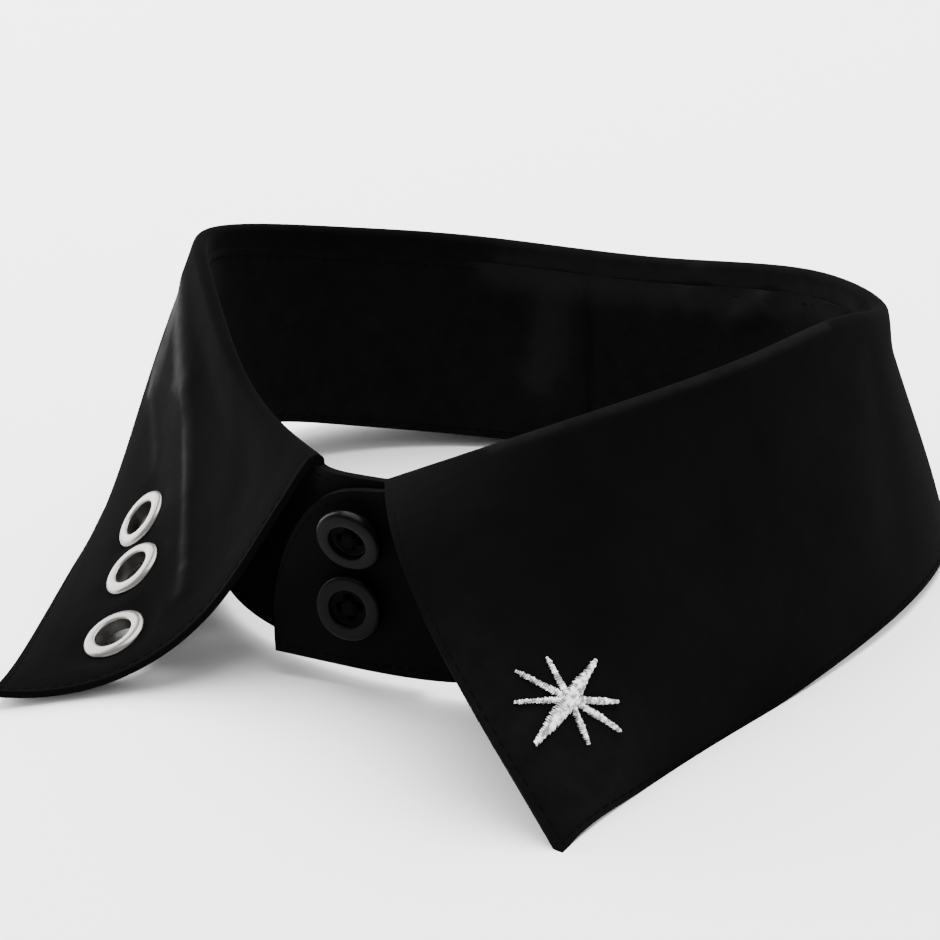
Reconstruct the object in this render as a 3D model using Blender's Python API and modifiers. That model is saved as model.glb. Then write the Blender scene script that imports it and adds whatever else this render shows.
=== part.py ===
"""Eyelet collar: a detachable two-piece shirt collar of black cotton that stands by itself on its hem.

The stand is a band that closes at the throat with two buttons. The leaf is sewn to its top edge, rolls over
and falls outside it to two long points. Three metal eyelets go through the leaf on the viewer's left, and a
small embroidered star lies on the leaf on the viewer's right. The front of the collar faces -Y.
"""
import math

import bmesh
import bpy
import numpy as np
from mathutils import Matrix, Vector

MM = 0.001

# Cloth, in millimetres
LEAF_THICK = 1.2
STAND_THICK = 1.4
ROLL_RADIUS = 1.35
SEAM_GAP = 0.35
HEM_TRIM = 0.5
ROLL_EASE = 9.0

# One row for each section, from the viewer's left front end round the back to the right front end.
# fold: the top of the roll. hem: the leaf's edge, with its lift over the floor. bow_up and bow_low: how far the
# leaf stands out a third and two thirds of the way down. turn: how far the leaf goes on down inside the roll.
# foot: the stand's lower edge.
SECTION_COLUMNS = ("fold_x", "fold_y", "fold_z", "hem_x", "hem_y", "lift", "bow_up", "bow_low", "turn",
                   "foot_x", "foot_y", "foot_z")
SECTIONS = (
    (2.0, -46.9, 39.9, -43.0, -82.9, 4.3, -7.5, -11.6, 0.6, 1.7, -44.5, 3.5),
    (-26.0, -28.3, 42.1, -50.1, -66.6, 2.3, -7.1, -7.8, 1.5, -29.0, -32.6, 4.0),
    (-49.8, -6.0, 51.5, -65.4, -34.4, 1.0, -3.2, -3.7, 3.0, -51.7, -7.8, 8.5),
    (-63.3, 16.0, 51.5, -77.3, 5.5, 1.7, 2.3, 2.5, 4.0, -62.3, 16.0, 11.5),
    (-51.3, 37.0, 46.5, -65.3, 50.5, 5.0, 1.0, 1.0, 4.5, -52.3, 38.0, 6.0),
    (-27.3, 51.5, 43.0, -33.3, 73.5, 1.5, 0.5, 0.5, 4.5, -27.3, 52.5, 2.0),
    (5.7, 59.0, 41.0, 4.7, 83.5, 0.0, 0.5, 0.0, 4.5, 5.7, 58.5, 0.5),
    (39.2, 56.0, 44.0, 42.2, 74.0, 0.0, 0.5, 0.0, 4.5, 38.7, 54.0, 2.5),
    (61.6, 38.6, 46.5, 70.2, 46.5, 1.5, 0.0, 0.5, 4.5, 60.7, 38.0, 6.0),
    (65.4, 15.0, 52.5, 77.2, 3.5, 2.0, 0.0, 0.5, 4.0, 67.2, 15.0, 9.0),
    (61.2, -11.5, 53.5, 71.2, -40.0, 0.0, 0.5, 1.0, 3.0, 62.2, -12.0, 9.0),
    (45.7, -40.5, 51.0, 67.7, -71.0, 1.0, 3.0, 3.5, 1.5, 42.7, -37.0, 5.0),
    (15.2, -48.5, 38.5, 67.7, -83.5, 0.0, 10.8, 8.6, 0.2, 15.2, -47.5, 3.5),
)
LAST = len(SECTIONS) - 1
LEAF_ENDS = (0.04, LAST - 0.02)

# Soft folds of the leaf: the line that each follows, from one section and share of the way down to another,
# then how far it stands out and half its width. A negative height is a trough.
FOLD_COLUMNS = ("section_a", "share_a", "section_b", "share_b", "height", "width")
FOLDS = (
    (1.55, 0.12, -0.60, 0.56, -1.0, 14.0),
)
SECTION_SPAN = 31.0
LEAF_DEPTH = 63.0

# The stand's two ends run on past the leaf and lap at the throat, the one from the viewer's left beneath.
# A row gives the section number, counted on past the leaf's ends, then the top edge and the foot.
LAP_COLUMNS = ("section", "top_x", "top_y", "top_z", "foot_x", "foot_y", "foot_z")
UNDER_LAP = (
    (-0.28, 10.2, -46.4, 37.6, 10.7, -45.2, 3.3),
    (-0.55, 19.2, -45.3, 37.4, 19.2, -44.9, 3.0),
)
OVER_LAP = (
    (12.35, 3.7, -49.0, 37.4, 3.7, -48.8, 4.0),
    (12.70, -7.8, -49.6, 37.0, -7.8, -49.8, 4.6),
)
# The rounded upper corner of each end: where it starts, and how much of the height it takes
UNDER_CORNER = (-0.40, 0.35)
OVER_CORNER = (12.06, 0.93)

# Mesh steps
STEPS_PER_SECTION = 6
FALL_STEPS = 12
ROLL_STEPS = 5
TURN_STEPS = 2
STAND_ROWS = 5
CORNER_STEPS = 8

# Eyelets: section and share of the way down the leaf
EYELETS = ((1.56, 0.616), (1.20, 0.653), (0.63, 0.723))
EYELET_RADIUS = 5.8
EYELET_BORE = 3.3
EYELET_BARREL = 3.7
EYELET_CROWN = 0.9
EYELET_BACK_RADIUS = 5.0
EYELET_BACK_THICK = 0.5
HOLE_CLEARANCE = 0.3
CONTACT_GAP = 0.35

# Buttons: middle of the front face, how far it looks to the viewer's right and down, and how far its holes
# are turned, in degrees
BUTTON_RADIUS = 5.75
BUTTON_THICK = 2.6
BUTTONS = {
    "button_upper": ((10.3, -53.0, 28.3), 7.0, 15.0, -8.0),
    "button_lower": ((9.1, -52.6, 16.2), 11.0, -2.0, 5.0),
}
BUTTON_HOLE_RADIUS = 0.8
BUTTON_HOLE_PLACE = 1.55

# Star: middle on the leaf, then its rays by direction, length and half widths at root, middle and tip
STAR_PLACE = (11.222, 0.702)
STAR_THICK = 0.7
STAR_RAYS = (
    (-31.0, 11.1, 0.65, 0.62, 0.4),
    (-6.5, 9.4, 0.7, 0.68, 0.45),
    (45.5, 7.9, 1.4, 0.95, 0.5),
    (109.0, 7.3, 0.65, 0.62, 0.4),
    (144.0, 9.6, 0.65, 0.58, 0.4),
    (174.5, 8.8, 0.6, 0.52, 0.35),
    (222.5, 8.9, 1.5, 1.2, 0.65),
    (288.0, 7.3, 0.65, 0.62, 0.5),
)


def column(table, columns, *names):
    """The named columns of a table as an array with one row for each of its rows."""
    picked = [columns.index(name) for name in names]
    return np.array([[row[k] for k in picked] for row in table], float)


def natural_spline(knots, rows):
    """A smooth curve through rows at knots. The returned function gives the point and its slope."""
    knots = np.asarray(knots, float)
    rows = np.asarray(rows, float)
    count = len(knots)
    step = np.diff(knots)
    matrix = np.eye(count)
    right = np.zeros_like(rows)
    for k in range(1, count - 1):
        matrix[k, k - 1:k + 2] = step[k - 1], 2 * (step[k - 1] + step[k]), step[k]
        right[k] = 6 * ((rows[k + 1] - rows[k]) / step[k] - (rows[k] - rows[k - 1]) / step[k - 1])
    bend = np.linalg.solve(matrix, right)

    def curve(at):
        k = int(np.clip(np.searchsorted(knots, at) - 1, 0, count - 2))
        h = step[k]
        a = (knots[k + 1] - at) / h
        b = (at - knots[k]) / h
        point = a * rows[k] + b * rows[k + 1] + ((a**3 - a) * bend[k] + (b**3 - b) * bend[k + 1]) * h * h / 6
        slope = (rows[k + 1] - rows[k]) / h + ((3 * b * b - 1) * bend[k + 1] - (3 * a * a - 1) * bend[k]) * h / 6
        return point, slope

    return curve


def unit(vector):
    return vector / np.linalg.norm(vector)


NUMBERS = range(LAST + 1)
HEM = column(SECTIONS, SECTION_COLUMNS, "hem_x", "hem_y", "lift") - (0, 0, HEM_TRIM)
fold_line = natural_spline(NUMBERS, column(SECTIONS, SECTION_COLUMNS, "fold_x", "fold_y", "fold_z"))
hem_line = natural_spline(NUMBERS, HEM)
bow_line = natural_spline(NUMBERS, column(SECTIONS, SECTION_COLUMNS, "bow_up", "bow_low"))
turn_line = natural_spline(NUMBERS, column(SECTIONS, SECTION_COLUMNS, "turn"))
foot_line = natural_spline(
    [row[0] for row in reversed(UNDER_LAP)] + list(NUMBERS) + [row[0] for row in OVER_LAP],
    np.concatenate([
        column(UNDER_LAP, LAP_COLUMNS, "foot_x", "foot_y", "foot_z")[::-1],
        column(SECTIONS, SECTION_COLUMNS, "foot_x", "foot_y", "foot_z"),
        column(OVER_LAP, LAP_COLUMNS, "foot_x", "foot_y", "foot_z"),
    ]),
)


def fold_rise(section, share):
    """How far the soft folds lift the leaf's face at a place, in millimetres."""
    here = np.array([section * SECTION_SPAN, share * LEAF_DEPTH])
    rise = 0.0
    for section_a, share_a, section_b, share_b, height, width in FOLDS:
        start = np.array([section_a * SECTION_SPAN, share_a * LEAF_DEPTH])
        line = np.array([section_b * SECTION_SPAN, share_b * LEAF_DEPTH]) - start
        way = np.clip((here - start) @ line / (line @ line), 0, 1)
        away = np.linalg.norm(here - start - way * line)
        rise += height * math.exp(-(away / width)**2)
    return rise * min(1.0, 6 * share)


def fall_point(section, share):
    """A point of the leaf's outer face, share of the way from the fold to the hem."""
    fold, fold_slope = fold_line(section)
    hem, hem_slope = hem_line(section)
    (bow_up, bow_low), _ = bow_line(section)
    outward = unit(np.cross(fold_slope + hem_slope, hem - fold))
    upper = 13.5 * share * (share - 1) * (share - 2 / 3)
    lower = -13.5 * share * (share - 1) * (share - 1 / 3)
    stand_off = bow_up * upper + bow_low * lower + fold_rise(section, share)
    return fold + (hem - fold) * share + outward * stand_off


def fall_frame(section, share):
    """A point of the leaf's outer face with its outward direction and its two slopes."""
    d = 0.01
    along = (fall_point(section + d, share) - fall_point(section - d, share)) / (2 * d)
    down = (fall_point(section, share + d) - fall_point(section, share - d)) / (2 * d)
    return fall_point(section, share), unit(np.cross(along, down)), along, down


def roll_frame(section):
    """The roll at the top of a section: its middle, its directions at both sides, and the way down inside."""
    fold, slope = fold_line(section)
    _, outer_side, _, _ = fall_frame(section, 0.01)
    middle = fold - np.array([0, 0, ROLL_RADIUS])
    foot, _ = foot_line(section)
    across = unit(np.cross(slope, foot - middle))
    inner_side = -across if across @ outer_side > 0 else across
    leg_start = middle + inner_side * (ROLL_RADIUS - LEAF_THICK / 2)
    return middle, outer_side, inner_side, leg_start, unit(foot - leg_start)


def between(first, second, share):
    """The direction share of the way round from first to second."""
    angle = math.acos(float(np.clip(first @ second, -1, 1)))
    return (math.sin((1 - share) * angle) * first + math.sin(share * angle) * second) / math.sin(angle)


def leaf_section(section):
    """The leaf's outer face at one section, from the hem over the roll and down inside to the seam."""
    middle, outer_side, inner_side, _, inward_down = roll_frame(section)
    fold, _ = fold_line(section)
    hem, _ = hem_line(section)
    length = np.linalg.norm(hem - fold)
    start = ROLL_RADIUS * (1 - outer_side[2]**2)**0.5 / length
    bulge = ROLL_RADIUS * (1 - outer_side[2])
    points = []
    for k in range(FALL_STEPS + 1):
        share = 1 + (start - 1) * k / FALL_STEPS
        ease = max(0.0, 1 - (share - start) * length / ROLL_EASE)
        points.append(fall_point(section, share) + outer_side * bulge * ease * ease * (3 - 2 * ease))
    for k in range(1, ROLL_STEPS + 1):
        points.append(middle + ROLL_RADIUS * between(outer_side, inner_side, k / ROLL_STEPS))
    (turn,), _ = turn_line(section)
    for k in range(1, TURN_STEPS + 1):
        points.append(points[FALL_STEPS + ROLL_STEPS] + inward_down * turn * k / TURN_STEPS)
    return points


def stand_top(section):
    """The stand's top edge, just under the leaf's inner end, or on its own where the ends lap."""
    if 0 <= section <= LAST:
        _, _, _, leg_start, inward_down = roll_frame(section)
        (turn,), _ = turn_line(section)
        return leg_start + inward_down * (turn + SEAM_GAP)
    laps, inside = (UNDER_LAP, (0.5, 0.25, 0.0)) if section < 0 else (OVER_LAP, (LAST - 0.5, LAST - 0.25, LAST))
    knots = list(inside) + [row[0] for row in laps]
    rows = [stand_top(at) for at in inside] + list(column(laps, LAP_COLUMNS, "top_x", "top_y", "top_z"))
    order = np.argsort(knots)
    return natural_spline(np.array(knots)[order], np.array(rows)[order])(section)[0]


def corner_drop(section):
    """Share of the stand's height that the rounded corner takes off at a section."""
    for (start, height), end in ((UNDER_CORNER, UNDER_LAP[-1][0]), (OVER_CORNER, OVER_LAP[-1][0])):
        way = (section - start) / (end - start)
        if way > 0:
            return height * (1 - math.sqrt(max(0.0, 1 - way * way)))
    return 0.0


def stand_sections():
    """Section numbers of the stand's columns, closer together at the rounded corners."""
    under = [UNDER_CORNER[0] + (UNDER_LAP[-1][0] - UNDER_CORNER[0]) * math.sin(math.radians(90 * k / CORNER_STEPS))
             for k in range(CORNER_STEPS, 0, -1)]
    over = [OVER_CORNER[0] + (OVER_LAP[-1][0] - OVER_CORNER[0]) * math.sin(math.radians(90 * k / CORNER_STEPS))
            for k in range(1, CORNER_STEPS + 1)]
    lap = [UNDER_CORNER[0] * k / 3 for k in (3, 2, 1)]
    return under + lap + [k / STEPS_PER_SECTION for k in range(LAST * STEPS_PER_SECTION + 1)] + over


def stand_point(section, share):
    """A point of the middle of the stand's wall, share of the way from its top edge to its foot."""
    top = stand_top(section)
    foot, _ = foot_line(section)
    drop = corner_drop(section)
    return top + (foot - top) * (drop + (1 - drop) * share)


def on_leaf(place, right, up):
    """The section and share that lie right and up, in millimetres, of a place on the leaf."""
    middle, outward, _, down = fall_frame(*place)
    up_way = unit(-down)
    right_way = np.cross(up_way, outward)
    goal = middle + right_way * right + up_way * up
    section, share = place
    for _ in range(4):
        point, _, along, down = fall_frame(section, share)
        step, _, _, _ = np.linalg.lstsq(np.stack([along, down], 1), goal - point, rcond=None)
        section += step[0]
        share += step[1]
    return section, share


def material(name, colour, roughness, metallic=0.0):
    made = bpy.data.materials.new(name)
    made.use_nodes = True
    shader = made.node_tree.nodes["Principled BSDF"]
    shader.inputs["Base Color"].default_value = (*colour, 1.0)
    shader.inputs["Roughness"].default_value = roughness
    shader.inputs["Metallic"].default_value = metallic
    return made


def add_object(name, mesh, group, finish=None):
    made = bpy.data.objects.new(name, mesh)
    group.objects.link(made)
    if finish:
        mesh.materials.append(finish)
    return made


def sheet_mesh(name, columns_of_points):
    """An open sheet through columns of points given in millimetres."""
    height = len(columns_of_points[0])
    points = [[MM * v for v in point] for line in columns_of_points for point in line]
    faces = []
    for c in range(len(columns_of_points) - 1):
        for r in range(height - 1):
            first = c * height + r
            faces.append((first, first + 1, first + height + 1, first + height))
    mesh = bpy.data.meshes.new(name)
    mesh.from_pydata(points, [], faces)
    return mesh


def thicken(piece, thickness, offset):
    wall = piece.modifiers.new("Wall", "SOLIDIFY")
    wall.thickness = thickness * MM
    wall.offset = offset
    return wall


def cut(piece, cutter):
    cutter.hide_render = True
    cutter.display_type = "WIRE"
    tool = piece.modifiers.new("Cut " + cutter.name, "BOOLEAN")
    tool.operation = "DIFFERENCE"
    tool.solver = "EXACT"
    tool.object = cutter


def smooth(mesh):
    mesh.shade_smooth()
    mesh.set_sharp_from_angle(angle=math.radians(40))


def turned(name, profile, steps, group, finish):
    """A profile of radius and height in millimetres, turned about Z."""
    mesh = bpy.data.meshes.new(name)
    closed = profile[0][0] > 0
    edges = [(k, k + 1) for k in range(len(profile) - 1)]
    if closed:
        edges.append((len(profile) - 1, 0))
    mesh.from_pydata([(MM * r, 0, MM * z) for r, z in profile], edges, [])
    piece = add_object(name, mesh, group, finish)
    screw = piece.modifiers.new("Turn", "SCREW")
    screw.steps = steps
    screw.render_steps = steps
    screw.use_merge_vertices = True
    screw.merge_threshold = 0.00002
    screw.use_smooth_shade = True
    return piece


def drill(name, places, radius, depth, group):
    """Upright cylinders in millimetres, joined as one cutter."""
    shape = bmesh.new()
    for x, y in places:
        bmesh.ops.create_cone(
            shape, cap_ends=True, segments=20, radius1=MM * radius, radius2=MM * radius, depth=MM * depth,
            matrix=Matrix.Translation((MM * x, MM * y, 0)))
    mesh = bpy.data.meshes.new(name)
    shape.to_mesh(mesh)
    shape.free()
    return add_object(name, mesh, group)


def facing(point, normal):
    """The placement of a piece whose own Z looks along normal, at a point in millimetres."""
    turn = Vector(normal).to_track_quat("Z", "Y").to_matrix().to_4x4()
    return Matrix.Translation(Vector(point) * MM) @ turn


def make_leaf(group, cutters, finish):
    """The leaf: one wall from the seam over the roll to the hem, trimmed level where it meets the floor."""
    inside = [k / STEPS_PER_SECTION for k in range(1, LAST * STEPS_PER_SECTION)]
    mesh = sheet_mesh("leaf", [leaf_section(at) for at in [LEAF_ENDS[0], *inside, LEAF_ENDS[1]]])
    smooth(mesh)
    leaf = add_object("leaf", mesh, group, finish)
    thicken(leaf, LEAF_THICK, -1)
    shape = bmesh.new()
    bmesh.ops.create_cube(shape, size=1.0)
    bmesh.ops.scale(shape, vec=(0.4, 0.4, 0.02), verts=shape.verts)
    bmesh.ops.translate(shape, vec=(0, 0, -0.01), verts=shape.verts)
    floor_mesh = bpy.data.meshes.new("floor_cutter")
    shape.to_mesh(floor_mesh)
    shape.free()
    cut(leaf, add_object("floor_cutter", floor_mesh, cutters))
    return leaf


def make_stand(group, finish):
    lines = [[stand_point(at, k / STAND_ROWS) for k in range(STAND_ROWS + 1)] for at in stand_sections()]
    mesh = sheet_mesh("stand", lines)
    smooth(mesh)
    stand = add_object("stand", mesh, group, finish)
    thicken(stand, STAND_THICK, 0)
    return stand


def make_eyelet(number, place, leaf, group, cutters, finish):
    """An eyelet whose flange clears the leaf's bent face, and the hole that it goes through."""
    middle, normal, along, down = fall_frame(*place)
    rise = []
    for k in range(24):
        angle = 2 * math.pi * k / 24
        for radius in (EYELET_BARREL, EYELET_RADIUS):
            at = on_leaf(place, radius * math.cos(angle), radius * math.sin(angle))
            rise.append(float((fall_point(*at) - middle) @ normal))
    seat = max(rise) + CONTACT_GAP
    back = min(rise) - LEAF_THICK - CONTACT_GAP
    crown = seat + EYELET_CROWN
    back_end = back - EYELET_BACK_THICK
    profile = [
        (4.3, crown), (5.1, seat + 0.65 * EYELET_CROWN), (EYELET_RADIUS, seat + 0.2), (EYELET_RADIUS - 0.15, seat),
        (EYELET_BARREL, seat), (EYELET_BARREL, back), (EYELET_BACK_RADIUS, back),
        (EYELET_BACK_RADIUS - 0.1, back_end + 0.1), (EYELET_BACK_RADIUS - 0.4, back_end),
        (EYELET_BORE + 0.2, back_end), (EYELET_BORE, back_end + 0.3), (EYELET_BORE, seat + 0.2),
        (3.6, seat + 0.7 * EYELET_CROWN),
    ]
    eyelet = turned("eyelet_%d" % number, profile, 28, group, finish)
    eyelet.matrix_world = facing(middle, normal)
    hole = drill("hole_%d" % number, [(0, 0)], EYELET_BARREL + HOLE_CLEARANCE, 8.0, cutters)
    hole.matrix_world = facing(middle, normal)
    cut(leaf, hole)


def make_button(name, front, right, down, spin, group, cutters, finish):
    """A four-hole button with a raised rim. Its own Z looks out of its front, from the middle of its back."""
    radius = BUTTON_RADIUS
    profile = [
        (0, 1.3), (2.8, 1.3), (3.1, 1.5), (3.4, 2.4), (3.7, BUTTON_THICK), (5.0, 2.55), (radius - 0.25, 2.2),
        (radius, 1.6), (radius - 0.15, 0.9), (radius - 0.8, 0.25), (radius - 1.6, 0), (0, 0),
    ]
    button = turned(name, profile, 32, group, finish)
    normal = np.array([
        math.sin(math.radians(right)) * math.cos(math.radians(down)),
        -math.cos(math.radians(right)) * math.cos(math.radians(down)),
        -math.sin(math.radians(down)),
    ])
    placement = facing(np.array(front) - normal * BUTTON_THICK, normal)
    button.matrix_world = placement
    spots = [(BUTTON_HOLE_PLACE * math.cos(a), BUTTON_HOLE_PLACE * math.sin(a))
             for a in (math.radians(spin + 90 * k) for k in range(4))]
    holes = drill("holes_" + name, spots, BUTTON_HOLE_RADIUS, 8.0, cutters)
    holes.matrix_world = placement
    cut(button, holes)


def make_star(group, finish):
    """The star: eight rays round one middle, laid on the leaf's own points and moved out."""
    flat = [(0.0, 0.0)]
    faces = []
    notches = []
    for k, ray in enumerate(STAR_RAYS):
        after = STAR_RAYS[(k + 1) % len(STAR_RAYS)]
        spread = (after[0] - ray[0]) % 360
        notch = max(ray[2], after[2]) / math.sin(math.radians(spread / 2)) * 0.9
        way = math.radians(ray[0] + spread / 2)
        notches.append(len(flat))
        flat.append((notch * math.cos(way), notch * math.sin(way)))
    for k, (direction, length, _, middle, tip) in enumerate(STAR_RAYS):
        way = math.radians(direction)
        first = len(flat)
        for out, side in ((0.55, middle), (0.55, -middle), (0.93, tip), (0.93, -tip), (1.0, 0.0)):
            flat.append((
                length * out * math.cos(way) + side * math.sin(way),
                length * out * math.sin(way) - side * math.cos(way),
            ))
        right, left = notches[k - 1], notches[k]
        faces.append((0, right, left))
        faces.append((right, first, first + 1, left))
        faces.append((first, first + 2, first + 3, first + 1))
        faces.append((first + 2, first + 4, first + 3))
    points = []
    for right, up in flat:
        point, normal, _, _ = fall_frame(*on_leaf(STAR_PLACE, right, up))
        points.append((point + normal * (CONTACT_GAP + STAR_THICK)) * MM)
    mesh = bpy.data.meshes.new("star_embroidery")
    mesh.from_pydata([tuple(point) for point in points], [], faces)
    smooth(mesh)
    star = add_object("star_embroidery", mesh, group, finish)
    thicken(star, STAR_THICK, -1)


def main():
    for old in list(bpy.data.objects):
        bpy.data.objects.remove(old, do_unlink=True)
    collar = bpy.data.collections.new("eyelet_collar")
    cutters = bpy.data.collections.new("cutters")
    for group in (collar, cutters):
        bpy.context.scene.collection.children.link(group)
    cotton = material("black cotton twill", (0.012, 0.012, 0.013), 0.75)
    resin = material("black polyester resin", (0.03, 0.03, 0.032), 0.3)
    nickel = material("nickel plate", (0.75, 0.74, 0.72), 0.25, 1.0)
    thread = material("silver rayon thread", (0.72, 0.73, 0.74), 0.4)
    leaf = make_leaf(collar, cutters, cotton)
    make_stand(collar, cotton)
    for number, place in enumerate(EYELETS, 1):
        make_eyelet(number, place, leaf, collar, cutters, nickel)
    for name, (front, right, down, spin) in BUTTONS.items():
        make_button(name, front, right, down, spin, collar, cutters, resin)
    make_star(collar, thread)


main()
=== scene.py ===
"""Eyelet collar, dressed: a black cotton shirt collar that stands on its hem on a pale table.

Lengths are in millimetres and are turned to metres where a mesh is made. +Z is up and the buttoned front
faces -Y. The cloth's shape repeats the named tables of the solids: one row for each section round the neck.
"""
import math

import bmesh
import bpy
import numpy as np
from mathutils import Matrix, Vector


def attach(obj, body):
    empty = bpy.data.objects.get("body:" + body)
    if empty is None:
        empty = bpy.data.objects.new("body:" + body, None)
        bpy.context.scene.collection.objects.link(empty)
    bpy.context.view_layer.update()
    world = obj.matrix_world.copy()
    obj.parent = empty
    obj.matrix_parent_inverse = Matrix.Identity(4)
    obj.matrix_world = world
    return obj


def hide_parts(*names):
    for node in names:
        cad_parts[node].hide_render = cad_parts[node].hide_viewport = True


MM = 0.001
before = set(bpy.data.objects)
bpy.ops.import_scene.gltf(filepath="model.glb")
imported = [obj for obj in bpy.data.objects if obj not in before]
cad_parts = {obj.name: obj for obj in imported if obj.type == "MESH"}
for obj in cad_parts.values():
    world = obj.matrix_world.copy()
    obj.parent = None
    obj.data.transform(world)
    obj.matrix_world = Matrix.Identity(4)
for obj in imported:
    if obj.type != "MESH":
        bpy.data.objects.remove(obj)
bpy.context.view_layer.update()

# The cloth's shape

LEAF_THICK = 1.2
STAND_THICK = 1.4
ROLL_RADIUS = 1.35
HEM_TRIM = 0.5
ROLL_EASE = 9.0
SEAM_GAP = 0.35
SEAM_OVERLAP = 1.6

# One row for each section, from the viewer's left front end round the back to the right front end.
# fold: the top of the roll. hem: the leaf's edge, with its lift over the table. bow_up and bow_low: how far
# the leaf stands out a third and two thirds of the way down. turn: how far the leaf goes on down inside the
# roll. foot: the stand's lower edge.
SECTION_COLUMNS = ("fold_x", "fold_y", "fold_z", "hem_x", "hem_y", "lift", "bow_up", "bow_low", "turn",
                   "foot_x", "foot_y", "foot_z")
SECTIONS = (
    (2.0, -46.9, 39.9, -43.0, -82.9, 4.3, -7.5, -11.6, 0.6, 1.7, -44.5, 3.5),
    (-26.0, -28.3, 42.1, -50.1, -66.6, 2.3, -7.1, -7.8, 1.5, -29.0, -32.6, 4.0),
    (-49.8, -6.0, 51.5, -65.4, -34.4, 1.0, -3.2, -3.7, 3.0, -51.7, -7.8, 8.5),
    (-63.3, 16.0, 51.5, -77.3, 5.5, 1.7, 2.3, 2.5, 4.0, -62.3, 16.0, 11.5),
    (-51.3, 37.0, 46.5, -65.3, 50.5, 5.0, 1.0, 1.0, 4.5, -52.3, 38.0, 6.0),
    (-27.3, 51.5, 43.0, -33.3, 73.5, 1.5, 0.5, 0.5, 4.5, -27.3, 52.5, 2.0),
    (5.7, 59.0, 41.0, 4.7, 83.5, 0.0, 0.5, 0.0, 4.5, 5.7, 58.5, 0.5),
    (39.2, 56.0, 44.0, 42.2, 74.0, 0.0, 0.5, 0.0, 4.5, 38.7, 54.0, 2.5),
    (61.6, 38.6, 46.5, 70.2, 46.5, 1.5, 0.0, 0.5, 4.5, 60.7, 38.0, 6.0),
    (65.4, 15.0, 52.5, 77.2, 3.5, 2.0, 0.0, 0.5, 4.0, 67.2, 15.0, 9.0),
    (61.2, -11.5, 53.5, 71.2, -40.0, 0.0, 0.5, 1.0, 3.0, 62.2, -12.0, 9.0),
    (45.7, -40.5, 51.0, 67.7, -71.0, 1.0, 3.0, 3.5, 1.5, 42.7, -37.0, 5.0),
    (15.2, -48.5, 38.5, 67.7, -83.5, 0.0, 10.8, 8.6, 0.2, 15.2, -47.5, 3.5),
)
LAST = len(SECTIONS) - 1
LEAF_ENDS = (0.04, LAST - 0.02)

# Soft folds of the leaf: the line that each follows, from one section and share of the way down to another,
# then how far it stands out and half its width. A negative height is a trough.
FOLD_COLUMNS = ("section_a", "share_a", "section_b", "share_b", "height", "width")
FOLDS = (
    (1.55, 0.12, -0.60, 0.56, -1.0, 14.0),
)
# Drawn flat, sections lie this far apart and the leaf is this deep from fold to hem. The stand, with its
# own height, is drawn well below the leaf, so that the two don't share a stretch of weave.
SECTION_SPAN = 31.0
LEAF_DEPTH = 63.0
STAND_HEIGHT = 38
STAND_FLAT_START = 200

# The stand's two ends run on past the leaf and lap at the throat, the one from the viewer's left beneath.
# A row gives the section number, counted on past the leaf's ends, then the top edge and the foot.
LAP_COLUMNS = ("section", "top_x", "top_y", "top_z", "foot_x", "foot_y", "foot_z")
UNDER_LAP = (
    (-0.28, 10.2, -46.4, 37.6, 10.7, -45.2, 3.3),
    (-0.55, 19.2, -45.3, 37.4, 19.2, -44.9, 3.0),
)
OVER_LAP = (
    (12.35, 3.7, -49.0, 37.4, 3.7, -48.8, 4.0),
    (12.70, -7.8, -49.6, 37.0, -7.8, -49.8, 4.6),
)
# The rounded upper corner of each end: where it starts, and how much of the height it takes
UNDER_CORNER = (-0.40, 0.35)
OVER_CORNER = (12.06, 0.93)

# Eyelets: section and share of the way down the leaf. Then the radius of the flange and of the bore, how
# far the flange is domed and sunk into the cloth, and how far down the dull barrel starts, painted darker
# as shade in the bore.
EYELETS = ((1.56, 0.616), (1.20, 0.653), (0.63, 0.723))
EYELET_RADIUS = 5.8
EYELET_BORE = 3.4
EYELET_CROWN = 0.8
EYELET_SEAT = 0.1
SHADED_BARREL_START = 0.3

# Buttons: middle of the front face, how far it looks to the viewer's right and down, and how far its holes
# are turned, in degrees. The floor is the height of the sunk middle over the back.
BUTTON_RADIUS = 5.75
BUTTON_THICK = 2.6
BUTTONS = {
    "button_upper": ((10.3, -53.0, 28.3), 7.0, 15.0, -8.0),
    "button_lower": ((9.1, -52.6, 16.2), 11.0, -2.0, 5.0),
}
BUTTON_HOLE_RADIUS = 0.8
BUTTON_HOLE_PLACE = 1.55
BUTTON_FLOOR = 1.3
# Inside this radius the sunk floor takes a darker resin: painted shade in the hollow.
BUTTON_SHADED_FLOOR_RADIUS = 2.95
BUTTON_STRANDS = (-0.6, -0.2, 0.2, 0.6)
BUTTON_THREAD_RADIUS = 0.24

# Star: middle on the leaf, then its rays by direction, length and half widths at root, middle and tip
STAR_PLACE = (11.222, 0.702)
STAR_RAYS = (
    (-31.0, 11.1, 0.65, 0.62, 0.4),
    (-6.5, 9.2, 0.7, 0.68, 0.45),
    (45.5, 7.9, 1.4, 0.95, 0.5),
    (109.0, 7.3, 0.65, 0.62, 0.4),
    (144.0, 9.6, 0.65, 0.58, 0.4),
    (174.5, 8.8, 0.6, 0.52, 0.35),
    (222.5, 8.9, 1.5, 1.2, 0.65),
    (288.0, 7.3, 0.65, 0.62, 0.5),
)


def column(table, columns, *names):
    """The named columns of a table as an array with one row for each of its rows."""
    picked = [columns.index(name) for name in names]
    return np.array([[row[k] for k in picked] for row in table], float)


def unit(vectors):
    return vectors / np.linalg.norm(vectors, axis=-1, keepdims=True)


def dot(first, second):
    return (first * second).sum(-1)


def ramp(value, low, high):
    """0 below low, 1 above high, and a soft step between."""
    x = np.clip((value - low) / (high - low), 0, 1)
    return x * x * (3 - 2 * x)


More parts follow.
